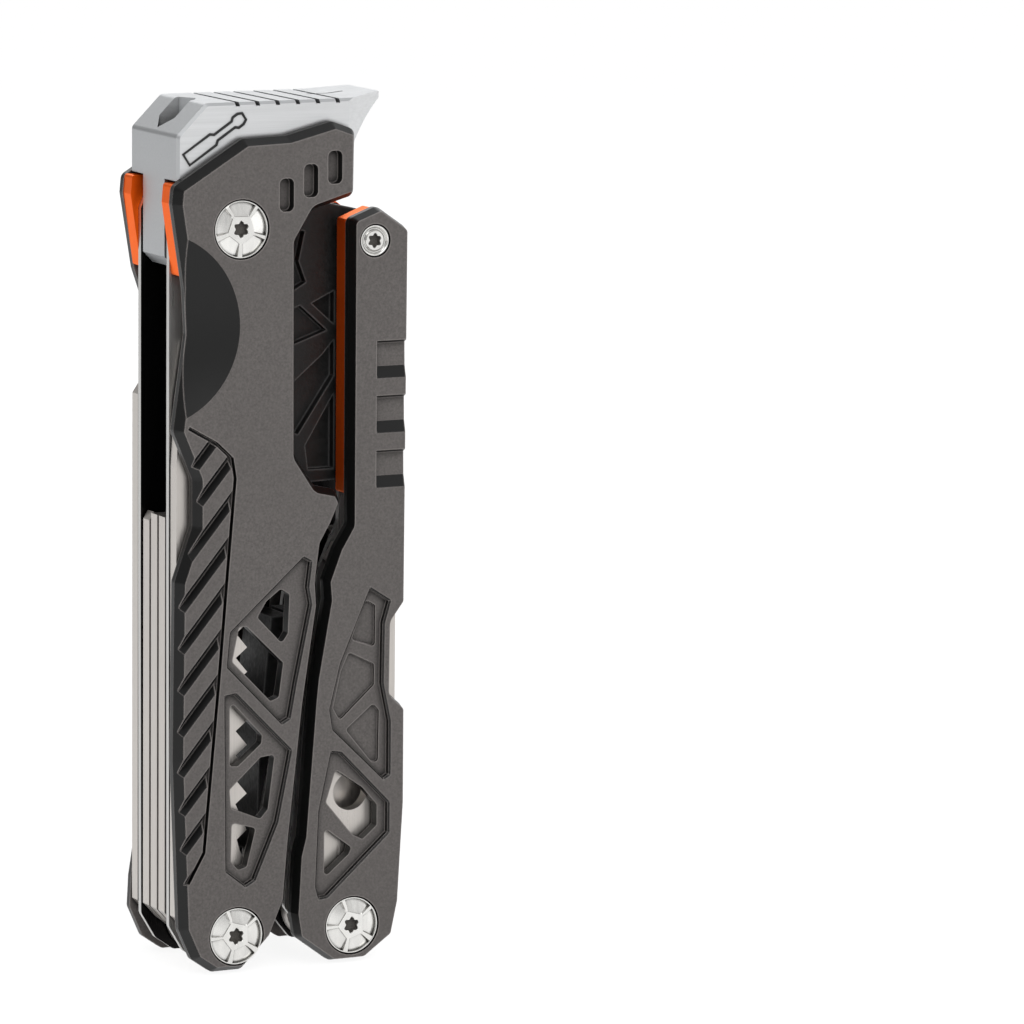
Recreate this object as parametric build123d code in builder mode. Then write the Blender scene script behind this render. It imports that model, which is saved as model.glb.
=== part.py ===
"""Folding multi tool with a hammer and claw head: two hinged handles, each with a stack of folding tools.

Millimetres, +Z up, the front of the tool faces -Y. The origin is at the middle of the base.
Every piece is a flat layer of one stack, so a piece is drawn in the XZ plane and given its place across Y.
"""

from build123d import *
from math import cos, radians, sin, tan
import os

# --- driving dimensions -----------------------------------------------------------------------------------
PIVOT_SPAN = 86.2  # bottom pivots up to the left handle's top screw
BASE_DROP = 4.4  # bottom pivots down to the base of the handles
TOP_PITCH = 17.7  # left handle's top screw across to the right handle's top pivot
TOP_STEP = 2.1  # how far the right handle's top pivot lies below the left one
BOTTOM_PITCH = 15.5  # between the two bottom pivots
LEFT_LEAN = -0.4  # left bottom pivot, sideways from the left top screw
LEFT_REACH = 8.5  # left top screw out to the left handle's outer edge
RIGHT_REACH = 4.7  # right top pivot out to the right handle's outer edge

CHANNEL = 7.5  # clear width between the two liners of a handle
LINER_T = 0.8
INSERT_T = 2.3  # inserts, and the gap that the outer tools fold into
SCALE_T = 2.4

BARREL_R = 2.0  # pivot barrels of the three large screws
BARREL_FIT = 0.05  # radial running fit on a barrel
HEAD_R = 3.5
HEAD_T = 1.1
HEAD_SINK = 0.1  # screw heads below the face of the scale
HEAD_GAP = 0.15  # screw head to the wall of its counterbore
DRIVE_R = 0.85  # screw drive recess
DRIVE_DEPTH = 0.7
SMALL_BARREL_R = 1.4
SMALL_HEAD_R = 1.9

INNER_T = 1.8  # tools between the liners
OUTER_T = 1.7  # tools between a liner and a scale
WASHER_T = 0.4
WASHER_R = 3.1
INNER_COUNT = 3

BEVEL = 0.8  # bevel round a scale, measured across its face
BEVEL_DEPTH = 1.5
CORNER_R = 1.0
SLIGHT_TURN = 14.0  # degrees; an outline that turns less than this keeps a plain corner
TRUSS_STEP = 0.9  # truss areas below the face of the scale
TRUSS_RIM = 0.25  # bevel round a truss area
POCKET_DEPTH = 1.3
NOTCH_DEPTH = 1.1  # thumb notches of the right scale
NOTCH_PITCH = 6.7
SLOT_W = 1.9  # oblong slots beside the head
SLOT_H = 4.0
GROOVE_DEPTH = 0.9
RIB_PITCH = 5.0
RIB_GROOVE = 1.4
RIB_ANGLE = 50.0
SCOOP_DEPTH = 2.0
SCOOP_R = 11.8  # radius of the thumb scoop on the face
REAR_REACH = 5.8  # left top screw out to the rear scale's outer edge, which leaves the saw's back bare

HEAD_BLOCK_TOP = 15.0  # top of the hammer head above the left top screw
HEAD_BLOCK_BASE = 5.8
HEAD_LEFT = -7.4
HEAD_CORNER = 3.8  # bevelled corner that holds the bit socket, across and down
HEAD_CORNER_R = 0.8
CLAW_START = 15.2
CLAW_TIP = 20.4
CLAW_TIP_T = 8.6  # thickness of the claw at its tip
CLAW_RISE = 0.5  # claw tip above the top of the head
CLAW_EDGE = 0.8  # height of the claw's blunt edge
NAIL_SLIT = (12.8, 17.6)  # from and to, sideways from the left top screw
NAIL_SLIT_W = 0.5
NAIL_SLIT_DEPTH = 2.0
HEAD_GROOVES = 6
HEAD_GROOVE_PITCH = 2.65
HEAD_GROOVE_W = 0.55
HEAD_GROOVE_DEPTH = 0.5
TONGUE_T = 6.3
FORK_SLOT = 3.4
LUG_T = 3.0
BIT_FLATS = 4.4  # across the flats of the hexagonal bit socket
BIT_DEPTH = 9.0
BIT_X = -4.4  # middle of the bit socket, from the left top screw
FRAME_T = 5.2
FRAME_BAY = 1.2  # depth of the bays in each face of the centre frame

KNIFE_LENGTH = 72.5
SAW_LENGTH = 68.0
INNER_LENGTH = 51.0
OPENER_LENGTH = 47.0
OUTER_EDGE = 6.9  # outer edge of the folded tools, sideways from their pivot
SERRATION_PITCH = 3.0
SERRATION_DEPTH = 1.5
SAW_PITCH = 2.0
SAW_TOOTH = 1.2

# --- places worked out from them --------------------------------------------------------------------------
X_LEFT = (LEFT_REACH - TOP_PITCH - RIGHT_REACH) / 2
X_RIGHT = X_LEFT + TOP_PITCH
X_LEFT_LOW = X_LEFT + LEFT_LEAN
X_RIGHT_LOW = X_LEFT_LOW + BOTTOM_PITCH
Z_LOW = BASE_DROP
Z_LEFT = Z_LOW + PIVOT_SPAN
Z_RIGHT = Z_LEFT - TOP_STEP

LINER_IN = CHANNEL / 2
LINER_OUT = LINER_IN + LINER_T
SCALE_IN = LINER_OUT + INSERT_T
FACE = SCALE_IN + SCALE_T
HOLE_R = BARREL_R + BARREL_FIT
SMALL_HOLE_R = SMALL_BARREL_R + BARREL_FIT
SINK = HEAD_T + HEAD_SINK
HEAD_BLOCK_T = 2 * SCALE_IN
OUTER_MID = LINER_OUT + INSERT_T / 2
INNER_GAP = (CHANNEL - INNER_COUNT * INNER_T) / (INNER_COUNT + 1)

os.makedirs("parts", exist_ok=True)
pieces = []


def lt(x, z):
    """A point placed from the left handle's top screw."""
    return (X_LEFT + x, Z_LEFT + z)


def lb(x, z):
    """A point placed from the left handle's bottom pivot."""
    return (X_LEFT_LOW + x, Z_LOW + z)


def rt(x, z):
    """A point placed from the right handle's top pivot."""
    return (X_RIGHT + x, Z_RIGHT + z)


def rb(x, z):
    """A point placed from the right handle's bottom pivot."""
    return (X_RIGHT_LOW + x, Z_LOW + z)


LEFT_TOP = lt(0, 0)
LEFT_LOW = lb(0, 0)
RIGHT_TOP = rt(0, 0)
RIGHT_LOW = rb(0, 0)


def layer(distance):
    """The drawing plane that lies this far in front of the middle plane."""
    return Plane.XZ.offset(distance)


def corner_radii(points, radius):
    """The radius at each corner: less where the sides that meet are short, none at a slight turn."""
    radii = []
    for i, point in enumerate(points):
        to_last = Vector(*points[i - 1]) - Vector(*point)
        to_next = Vector(*points[(i + 1) % len(points)]) - Vector(*point)
        turn = 180 - to_last.get_angle(to_next)
        room = 0.48 * min(to_last.length, to_next.length) / tan(radians(max(turn, 1.0)) / 2)
        radii.append(min(radius, room) if turn > SLIGHT_TURN else 0)
    return radii


def panel(points, radius, mode=Mode.ADD):
    """Draws a closed outline in the current sketch, with rounded corners."""
    with BuildLine(mode=Mode.PRIVATE) as outline:
        FilletPolyline(*points, radius=corner_radii(points, radius), close=True)
    make_face(outline.edges(), mode=mode)


def keep(name, piece):
    """Labels a finished piece and writes its file."""
    piece.label = name
    pieces.append(piece)
    export_step(piece, f"parts/{name}.step")


def mirrored(piece):
    """The same piece on the rear side of the tool."""
    with BuildPart() as rear:
        mirror(piece, about=Plane.XZ)
    return rear.part


# --- outlines ---------------------------------------------------------------------------------------------
LEFT_SCALE_BODY = [
    lb(-2.8, -BASE_DROP), lb(1.2, -BASE_DROP), lb(5.0, -0.6), lb(6.9, 3.8), lb(7.5, 11.0), lb(9.4, 28.0),
    lb(11.2, 40.0), lt(10.6, -43.3), lt(11.2, -38.8), lt(12.5, -36.6), lt(13.8, -33.8), lt(13.0, -32.3),
    lt(10.3, -31.7), lt(7.7, -27.8), lt(7.6, -1.9), lt(9.9, 1.8), lt(15.4, 3.4), lt(15.5, 11.3),
    lt(12.4, 12.4), lt(6.4, 10.9), lt(0.6, 10.7), lt(-8.3, 5.3), lt(-LEFT_REACH, 3.2),
]
FRONT_EDGE = [
    lt(-6.9, -7.0), lt(-6.6, -12.4), lt(-8.3, -24.1), lt(-5.8, -30.0), lt(-5.8, -35.8), lt(-8.1, -42.3),
    lb(-7.9, 22.0),
]
REAR_EDGE = [lt(-7.0, -6.0), lt(-REAR_REACH, -9.5), lb(-REAR_REACH, 12.0), lb(-6.9, 5.0)]
LEFT_FOOT = [lb(-7.1, 1.2), lb(-5.4, -2.6)]
RIGHT_SCALE = [
    rb(-2.5, -BASE_DROP), rb(1.8, -BASE_DROP), rb(5.6, -1.7), rb(6.5, 2.5), rb(7.2, 14.8), rb(7.2, 26.6),
    rb(5.2, 28.4), rt(2.7, -46.9), rt(RIGHT_REACH - 0.2, -44.5), rt(RIGHT_REACH, 1.3), rt(0.8, 4.0),
    rt(-2.9, 2.6), rt(-2.9, -34.6), rt(-4.6, -37.4), rt(-6.1, -41.3), rt(-5.9, -43.6), rb(-5.0, 31.0),
    rb(-5.3, 28.2), rb(-6.6, 11.5), rb(-7.2, 9.2), rb(-7.6, 2.0), rb(-7.1, -1.0),
]
LEFT_UPPER_TRUSS = [
    lb(8.8, 45.9), lb(9.7, 45.4), lb(9.3, 42.3), lb(9.7, 40.2), lb(7.7, 30.7), lb(6.9, 26.4), lb(6.0, 25.9),
    lb(-1.2, 33.3), lb(-0.8, 37.4),
]
LEFT_UPPER_WINDOWS = [
    [lb(4.2, 40.8), lb(6.1, 42.2), lb(7.3, 41.5), lb(7.1, 36.7), lb(6.3, 35.5), lb(3.0, 38.9)],
    [lb(0.6, 37.9), lb(1.6, 37.9), lb(6.5, 33.1), lb(5.9, 28.9), lb(4.8, 28.5), lb(-0.3, 33.7)],
]
LEFT_LOWER_TRUSS = [
    lb(-1.5, 29.6), lb(-0.2, 29.8), lb(7.1, 22.4), lb(5.3, 13.7), lb(2.3, 6.8), lb(1.2, 6.2), lb(-1.3, 8.2),
]
LEFT_LOWER_WINDOWS = [
    [lb(-0.6, 29.0), lb(3.7, 24.4), lb(3.6, 23.4), lb(0.5, 20.8), lb(-0.6, 20.9)],
    [lb(0.5, 19.0), lb(3.5, 21.7), lb(5.4, 21.9), lb(4.5, 15.2), lb(3.5, 14.1), lb(-0.4, 15.7),
    lb(-0.6, 18.0)],
    [lb(-0.3, 13.9), lb(2.9, 13.0), lb(1.7, 8.3), lb(0.6, 8.0), lb(-0.4, 9.1)],
]
RIGHT_UPPER_TRUSS = [
    rb(2.3, 41.5), rb(4.8, 39.9), rb(4.0, 37.2), rb(3.9, 29.7), rb(4.9, 25.0), rb(4.9, 18.4), rb(4.2, 18.0),
    rb(-2.6, 24.6), rb(-3.0, 27.0), rb(-1.6, 32.6),
]
RIGHT_POCKETS = [
    [rb(2.0, 40.1), rb(3.3, 39.4), rb(3.3, 34.2), rb(0.1, 35.3)],
    [rb(-0.2, 33.8), rb(3.2, 32.1), rb(3.2, 29.5), rb(-1.4, 25.4), rb(-2.3, 27.0), rb(-1.3, 31.4)],
    [rb(3.1, 27.2), rb(3.9, 26.3), rb(3.8, 19.9), rb(2.9, 20.0), rb(-0.6, 24.2)],
]
RIGHT_LOWER_TRUSS = [
    rb(-2.8, 21.7), rb(-1.6, 21.5), rb(4.8, 14.9), rb(4.8, 11.2), rb(-3.4, 3.9), rb(-4.4, 3.8), rb(-4.8, 5.2),
    rb(-4.4, 14.6),
]
RIGHT_WINDOWS = [
    [rb(-1.9, 19.4), rb(1.7, 16.9), rb(3.7, 14.6), rb(3.7, 12.0), rb(1.8, 10.4), rb(0.4, 11.1),
    rb(-3.2, 15.4)],
    [rb(-3.4, 12.3), rb(0.3, 9.5), rb(-0.1, 8.7), rb(-3.4, 6.0)],
]
GRIP = [
    lt(-11, -22.5), lt(-6.9, -23.6), lt(-3.2, -25.7), lt(-1.2, -27.6), lt(-0.8, -30.0), lt(-1.7, -40.4),
    lb(-2.5, 31.3), lb(-4.4, 10.7), lb(-6.5, 7.0), lb(-11, 5.0),
]
GRIP_STEP = 0.45  # width of the dark step along the inner side of the grip


# --- scales -----------------------------------------------------------------------------------------------
def bore(points, barrel, depth_from, sink_r):
    """Cuts a screw's through hole and its counterbore into a scale."""
    with BuildSketch(layer(depth_from)) as through:
        with Locations(*points):
            Circle(barrel)
    extrude(through.sketch, amount=SCALE_T, mode=Mode.SUBTRACT)
    with BuildSketch(layer(FACE)) as sink:
        with Locations(*points):
            Circle(sink_r)
    extrude(sink.sketch, amount=-SINK, mode=Mode.SUBTRACT)


def truss(area, windows, window_depth):
    """Lowers a truss area and cuts its windows, through or blind."""
    with BuildSketch(layer(FACE)) as lowered:
        Polygon(*area, align=None)
    extrude(lowered.sketch, amount=-TRUSS_STEP, mode=Mode.SUBTRACT)
    rim = edges(Select.LAST).group_by(Axis.Y)[0]
    chamfer(rim, length=TRUSS_RIM)
    with BuildSketch(layer(FACE)) as cuts:
        for window in windows:
            panel(window, 0.4)
    extrude(cuts.sketch, amount=-window_depth, mode=Mode.SUBTRACT)


with BuildPart() as grip_grooves:
    # V grooves that run up to the right, kept inside the grip area
    along = Vector(cos(radians(RIB_ANGLE)), 0, sin(radians(RIB_ANGLE)))
    across = Vector(-along.Z, 0, along.X)
    groove_x, groove_z = lt(-4.5, -26.5)
    groove_count = int((PIVOT_SPAN - 22.0) // RIB_PITCH) - 1
    with BuildSketch(Plane(origin=(groove_x, -FACE, groove_z), x_dir=across, z_dir=along)):
        with Locations(*[(-RIB_PITCH * across.Z * i, 0) for i in range(groove_count)]):
            Polygon((-RIB_GROOVE / 2, 0), (0, -GROOVE_DEPTH), (RIB_GROOVE / 2, 0), align=None)
    extrude(amount=PIVOT_SPAN, both=True)
    with BuildSketch(layer(FACE)):
        Polygon(*GRIP, align=None)
    extrude(amount=-SCALE_T, mode=Mode.INTERSECT)


def left_scale(outline):
    """A left scale, drawn as the front one: bevel, trusses, grip, thumb scoop, slots and screw holes."""
    with BuildPart() as scale:
        with BuildSketch(layer(SCALE_IN)):
            panel(outline, CORNER_R)
        extrude(amount=SCALE_T)
        face = scale.faces().sort_by(Axis.Y)[0]
        chamfer(face.outer_wire().edges(), length=BEVEL, length2=BEVEL_DEPTH, reference=face)
        truss(LEFT_UPPER_TRUSS, LEFT_UPPER_WINDOWS, SCALE_T)
        truss(LEFT_LOWER_TRUSS, LEFT_LOWER_WINDOWS, SCALE_T)
        add(grip_grooves.part, mode=Mode.SUBTRACT)
        # a step along the inner side of the grip
        with BuildSketch(layer(FACE)):
            with BuildLine() as grip_side:
                Polyline(*GRIP[1:9])
            trace(grip_side.edges(), line_width=GRIP_STEP)
        extrude(amount=-GROOVE_DEPTH, mode=Mode.SUBTRACT)
        # thumb scoop, ground by a ball
        scoop_x, scoop_z = lt(-12.0, -11.6)
        ball_r = (SCOOP_R**2 + SCOOP_DEPTH**2) / (2 * SCOOP_DEPTH)
        with Locations((scoop_x, -FACE + SCOOP_DEPTH - ball_r, scoop_z)):
            Sphere(ball_r, mode=Mode.SUBTRACT)
        # three oblong slots beside the head
        with BuildSketch(layer(FACE)):
            with Locations(lt(5.9, 3.9), lt(9.1, 5.5), lt(12.3, 7.0)):
                RectangleRounded(SLOT_W, SLOT_H, 0.7)
        extrude(amount=-POCKET_DEPTH, mode=Mode.SUBTRACT)
        bore([LEFT_TOP, LEFT_LOW], HOLE_R, SCALE_IN, HEAD_R + HEAD_GAP)
    return scale.part


keep("front_scale_left", left_scale(LEFT_SCALE_BODY + FRONT_EDGE + LEFT_FOOT))
keep("rear_scale_left", mirrored(left_scale(LEFT_SCALE_BODY + REAR_EDGE + LEFT_FOOT)))

with BuildPart() as right_scale:
    with BuildSketch(layer(SCALE_IN)):
        panel(RIGHT_SCALE, CORNER_R)
    extrude(amount=SCALE_T)
    face = right_scale.faces().sort_by(Axis.Y)[0]
    chamfer(face.outer_wire().edges(), length=BEVEL / 2, length2=BEVEL_DEPTH, reference=face)
    truss(RIGHT_UPPER_TRUSS, RIGHT_POCKETS, POCKET_DEPTH)
    truss(RIGHT_LOWER_TRUSS, RIGHT_WINDOWS, SCALE_T)
    # three thumb notches: a steep upper wall, a floor and a ramp below it
    notch_x, notch_z = rt(0.3, -12.2)
    for i in range(3):
        z = notch_z - NOTCH_PITCH * i
        with BuildSketch(Plane.YZ.offset(notch_x)):
            Polygon(
                (-FACE, z), (-FACE + NOTCH_DEPTH, z - 0.4), (-FACE + 0.8 * NOTCH_DEPTH, z - 3.2),
                (-FACE, z - 4.6),
                align=None,
            )
        extrude(amount=RIGHT_REACH, mode=Mode.SUBTRACT)
    bore([RIGHT_LOW], HOLE_R, SCALE_IN, HEAD_R + HEAD_GAP)
    bore([RIGHT_TOP], SMALL_HOLE_R, SCALE_IN, SMALL_HEAD_R + HEAD_GAP)
keep("front_scale_right", right_scale.part)
keep("rear_scale_right", mirrored(right_scale.part))

# --- liners -----------------------------------------------------------------------------------------------
LEFT_LINER = [
    lb(-2.6, -3.9), lb(1.0, -3.9), lb(4.4, -0.6), lb(6.3, 4.0), lb(8.8, 28.0), lb(10.5, 40.0), lt(9.9, -43.0),
    lt(10.4, -38.6), lt(11.4, -36.0), lt(7.0, -31.0), lt(7.0, -1.9), lt(9.4, 2.3), lt(13.8, 3.8),
    lt(13.8, 5.4), lt(-5.8, 5.4), lt(-7.4, 1.6), lt(-7.4, -42.0), lb(-6.9, 1.0), lb(-5.0, -2.2),
]
RIGHT_LINER = [
    rb(-2.3, -3.9), rb(1.6, -3.9), rb(5.1, -1.5), rb(6.5, 2.5), rb(6.9, 28.0), rt(4.0, -44.0), rt(4.2, 1.0),
    rt(0.8, 3.4), rt(-2.5, 2.2), rt(-2.5, -34.6), rt(-5.4, -41.0), rb(-4.4, 31.0), rb(-6.0, 11.5),
    rb(-7.0, 2.0),
]


def liner(outline, windows, holes):
    """A thin steel plate with its windows and pivot holes; holes are pairs of point and radius."""
    with BuildPart() as plate:
        with BuildSketch(layer(LINER_IN)):
            panel(outline, CORNER_R)
            for window in windows:
                Polygon(*window, align=None, mode=Mode.SUBTRACT)
            for point, radius in holes:
                with Locations(point):
                    Circle(radius, mode=Mode.SUBTRACT)
        extrude(amount=LINER_T)
    return plate.part


left_liner = liner(LEFT_LINER, [LEFT_UPPER_TRUSS, LEFT_LOWER_TRUSS], [(LEFT_TOP, HOLE_R), (LEFT_LOW, HOLE_R)])
right_liner = liner(RIGHT_LINER, [RIGHT_LOWER_TRUSS], [(RIGHT_TOP, SMALL_HOLE_R), (RIGHT_LOW, HOLE_R)])
keep("front_liner_left", left_liner)
keep("rear_liner_left", mirrored(left_liner))
keep("front_liner_right", right_liner)
keep("rear_liner_right", mirrored(right_liner))

# --- coloured inserts between liner and scale -------------------------------------------------------------
LEFT_INSERT = [
    lt(-8.2, 5.5), lt(-LEFT_REACH + 0.1, 3.2), lt(-7.1, -5.6), lt(5.4, -7.4), lt(7.0, -5.6), lt(7.0, -1.7),
    lt(9.6, 2.1),
    lt(14.6, 3.8), lt(14.6, 5.5),
]
RIGHT_INSERT = [
    rt(-2.9, 2.4), rt(0.6, 3.8), rt(4.2, 1.2), rt(4.1, -8.0), rt(0.0, -9.0), rt(-0.6, -30.4),
    rt(-2.9, -31.2),
]
with BuildPart() as left_insert:
    with BuildSketch(layer(LINER_OUT)):
        panel(LEFT_INSERT, 0.4)
        with Locations(LEFT_TOP):
            Circle(HOLE_R, mode=Mode.SUBTRACT)
    extrude(amount=INSERT_T)
with BuildPart() as right_insert:
    with BuildSketch(layer(LINER_OUT)):
        panel(RIGHT_INSERT, 0.4)
        with Locations(RIGHT_TOP):
            Circle(SMALL_HOLE_R, mode=Mode.SUBTRACT)
    extrude(amount=INSERT_T)
keep("front_insert_left", left_insert.part)
keep("rear_insert_left", mirrored(left_insert.part))
keep("front_insert_right", right_insert.part)
keep("rear_insert_right", mirrored(right_insert.part))

# --- hammer head with its claw, bit socket and forked tongue ----------------------------------------------
with BuildPart() as hammer:
    with BuildSketch(layer(-HEAD_BLOCK_T / 2)):
        with BuildLine():
            Polyline(
                lt(15.9, 9.2), lt(13.0, HEAD_BLOCK_BASE), lt(HEAD_LEFT, HEAD_BLOCK_BASE),
                lt(HEAD_LEFT, HEAD_BLOCK_TOP - HEAD_CORNER), lt(HEAD_LEFT + HEAD_CORNER, HEAD_BLOCK_TOP),
                lt(15.6, HEAD_BLOCK_TOP), lt(CLAW_TIP, HEAD_BLOCK_TOP + CLAW_RISE),
                lt(CLAW_TIP, HEAD_BLOCK_TOP + CLAW_RISE - CLAW_EDGE),
            )
            ThreePointArc(lt(CLAW_TIP, HEAD_BLOCK_TOP + CLAW_RISE - CLAW_EDGE), lt(17.9, 12.2), lt(15.9, 9.2))
        make_face()
    extrude(amount=HEAD_BLOCK_T)
    across_edges = hammer.edges().filter_by(Axis.Y)
    corner_low = lt(HEAD_LEFT, HEAD_BLOCK_TOP - HEAD_CORNER)
    corner_high = lt(HEAD_LEFT + HEAD_CORNER, HEAD_BLOCK_TOP)
    softened = [across_edges.sort_by_distance((x, 0, z))[0] for x, z in (corner_low, corner_high)]
    fillet(softened, HEAD_CORNER_R)
    sides = hammer.faces().sort_by(Axis.Y)
    chamfer(sides[0].edges() + sides[-1].edges(), length=0.35)
    # the claw narrows towards its tip
    with BuildSketch(Plane.XY.offset(Z_LEFT)):
        for side in (-1, 1):
            Polygon(
                (X_LEFT + CLAW_START, side * HEAD_BLOCK_T / 2), (X_LEFT + CLAW_TIP, side * CLAW_TIP_T / 2),
                (X_LEFT + CLAW_TIP + 1, side * CLAW_TIP_T / 2), (X_LEFT + CLAW_TIP + 1, side * HEAD_BLOCK_T),
                (X_LEFT + CLAW_START, side * HEAD_BLOCK_T),
                align=None,
            )
    extrude(amount=HEAD_BLOCK_TOP + 2, mode=Mode.SUBTRACT)
    # anti-slip grooves across the top
    with BuildSketch(Plane.XY.offset(Z_LEFT + HEAD_BLOCK_TOP)):
        with Locations(*[(X_LEFT + 0.5 + HEAD_GROOVE_PITCH * i, 0) for i in range(HEAD_GROOVES)]):
            Rectangle(HEAD_GROOVE_W, HEAD_BLOCK_T)
    extrude(amount=-HEAD_GROOVE_DEPTH, mode=Mode.SUBTRACT)
    # nail slit of the claw
    with BuildSketch(Plane.XY.offset(Z_LEFT + HEAD_BLOCK_TOP - NAIL_SLIT_DEPTH)):
        with Locations((X_LEFT + sum(NAIL_SLIT) / 2, 0)):
            Rectangle(NAIL_SLIT[1] - NAIL_SLIT[0], NAIL_SLIT_W)
    extrude(amount=NAIL_SLIT_DEPTH + 1, mode=Mode.SUBTRACT)
    # tongue between the liners, forked for the centre frame's lug
    with BuildSketch(layer(-TONGUE_T / 2)):
        Polygon(
            lt(HEAD_LEFT, HEAD_BLOCK_BASE), lt(HEAD_LEFT, -3.6), lt(-6.2, -4.9), lt(3.0, -4.9),
            lt(3.4, HEAD_BLOCK_BASE),
            align=None,
        )
    extrude(amount=TONGUE_T)
    with BuildSketch(layer(-FORK_SLOT / 2)):
        Polygon(lt(-3.4, 3.6), lt(-3.4, -5.2), lt(4.0, -5.2), lt(4.0, 3.6), align=None)
    extrude(amount=FORK_SLOT, mode=Mode.SUBTRACT)
    with BuildSketch(layer(-TONGUE_T)):
        with Locations(LEFT_TOP):
            Circle(HOLE_R)
    extrude(amount=2 * TONGUE_T, mode=Mode.SUBTRACT)
    # hexagonal bit socket, sunk straight down through the bevelled corner and the top
    with BuildSketch(Plane.XY.offset(Z_LEFT + HEAD_BLOCK_TOP - BIT_DEPTH)):
        with Locations((X_LEFT + BIT_X, 0)):
            RegularPolygon(BIT_FLATS / 2, 6, major_radius=False)
    extrude(amount=BIT_DEPTH + 1, mode=Mode.SUBTRACT)
keep("hammer_head", hammer.part)

# --- centre frame: fixed grip jaw, carried by the head's fork and the right handle's top pivot ------------
FRAME = [
    lt(3.9, 3.4), lt(13.2, 3.0), lt(14.6, 1.9), lt(20.4, 0.6), lt(21.2, -2.4), lt(19.6, -5.6), lt(16.4, -7.4),
    lt(16.4, -32.0), lt(3.0, -32.4), lt(-1.4, -27.0), lt(-1.4, -5.6), lt(3.9, -5.6),
]
FRAME_BAYS = [
    [lt(8.0, -0.4), lt(11.4, -1.4), lt(10.6, -5.0), lt(11.6, -7.6), lt(8.0, -9.6)],
    [lt(8.0, -11.6), lt(10.8, -10.4), lt(14.4, -13.6), lt(8.0, -15.8)],
    [lt(15.4, -8.8), lt(15.4, -12.9), lt(12.4, -10.2)],
    [lt(15.4, -14.8), lt(15.4, -19.2), lt(10.6, -26.2), lt(8.0, -25.0), lt(8.0, -21.4), lt(13.8, -16.6)],
    [lt(15.4, -21.4), lt(15.4, -30.6), lt(12.0, -30.6), lt(11.6, -27.6)],
]
with BuildPart() as frame:
    with BuildSketch(layer(-FRAME_T / 2)):
        panel(FRAME, 0.8)
    extrude(amount=FRAME_T)
    with BuildSketch(layer(-LUG_T / 2)):
        Polygon(lt(4.2, 3.2), lt(4.2, -4.6), lt(-1.6, -3.0), lt(-3.0, 0.0), lt(-1.6, 3.2), align=None)
    extrude(amount=LUG_T)
    with BuildSketch(layer(-FRAME_T)):
        with Locations(LEFT_TOP):
            Circle(HOLE_R)
        with Locations(RIGHT_TOP):
            Circle(SMALL_HOLE_R)
    extrude(amount=2 * FRAME_T, mode=Mode.SUBTRACT)
    for side in (layer(FRAME_T / 2), layer(-FRAME_T / 2 + FRAME_BAY)):
        with BuildSketch(side):
            for bay in FRAME_BAYS:
                Polygon(*bay, align=None)
        extrude(amount=-FRAME_BAY, mode=Mode.SUBTRACT)
keep("centre_frame", frame.part)

# --- spines between the liners, along the inner side of each handle ---------------------------------------
with BuildPart() as left_spine:
    with BuildSketch(layer(-LINER_IN)):
        Polygon(
            lb(5.0, 9.0), lb(6.6, 8.0), lb(8.4, 27.4), lb(9.6, 38.0), lb(7.0, 38.0), lb(5.6, 25.0),
            align=None,
        )
    extrude(amount=CHANNEL)
keep("spine_left", left_spine.part)
with BuildPart() as right_spine:
    with BuildSketch(layer(-LINER_IN)):
        Polygon(
            rb(-5.9, 9.0), rb(-4.6, 9.0), rb(-2.6, 30.0), rb(-2.8, 38.0), rb(-5.0, 38.0), rb(-4.4, 30.6),
            align=None,
        )
    extrude(amount=CHANNEL)
keep("spine_right", right_spine.part)


# --- pivot bolts, caps and washers ------------------------------------------------------------------------
def bolts(specs):
    """Bolts with a front head and a barrel; specs are point, head radius and barrel radius."""
    with BuildPart() as group:
        for point, head_r, barrel_r in specs:
            with BuildSketch(layer(FACE - SINK)):
                with Locations(point):
                    Circle(head_r)
            extrude(amount=HEAD_T)
            with BuildSketch(layer(-(FACE - SINK))):
                with Locations(point):
                    Circle(barrel_r)
            extrude(amount=2 * (FACE - SINK))
            with BuildSketch(layer(FACE - HEAD_SINK)):
                with Locations(point):
                    RegularPolygon(DRIVE_R, 6)
            extrude(amount=-DRIVE_DEPTH, mode=Mode.SUBTRACT)
    return group.part


def caps(specs):
    """Rear caps that close the bolts; specs are point and head radius."""
    with BuildPart() as group:
        for point, head_r in specs:
            with BuildSketch(layer(-(FACE - HEAD_SINK))):
                with Locations(point):
                    Circle(head_r)
            extrude(amount=HEAD_T)
            with BuildSketch(layer(-(FACE - HEAD_SINK))):
                with Locations(point):
                    RegularPolygon(DRIVE_R, 6)
            extrude(amount=DRIVE_DEPTH, mode=Mode.SUBTRACT)
    return group.part


def washers(point):
    """Thin washers on a bottom pivot, one in each gap of the inner tool stack."""
    with BuildPart() as group:
        for i in range(INNER_COUNT + 1):
            start = -LINER_IN + i * (INNER_T + INNER_GAP) + (INNER_GAP - WASHER_T) / 2
            with BuildSketch(layer(start)):
                with Locations(point):
                    Circle(WASHER_R)
                    Circle(HOLE_R, mode=Mode.SUBTRACT)
            extrude(amount=WASHER_T)
    return group.part


keep("pivot_bolts_left", bolts([(LEFT_TOP, HEAD_R, BARREL_R), (LEFT_LOW, HEAD_R, BARREL_R)]))
keep("pivot_caps_left", caps([(LEFT_TOP, HEAD_R), (LEFT_LOW, HEAD_R)]))
keep("pivot_bolt_right", bolts([(RIGHT_LOW, HEAD_R, BARREL_R)]))
keep("pivot_cap_right", caps([(RIGHT_LOW, HEAD_R)]))
keep("handle_pivot_bolt", bolts([(RIGHT_TOP, SMALL_HEAD_R, SMALL_BARREL_R)]))
keep("handle_pivot_cap", caps([(RIGHT_TOP, SMALL_HEAD_R)]))
keep("washers_left", washers(LEFT_LOW))
keep("washers_right", washers(RIGHT_LOW))


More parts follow.
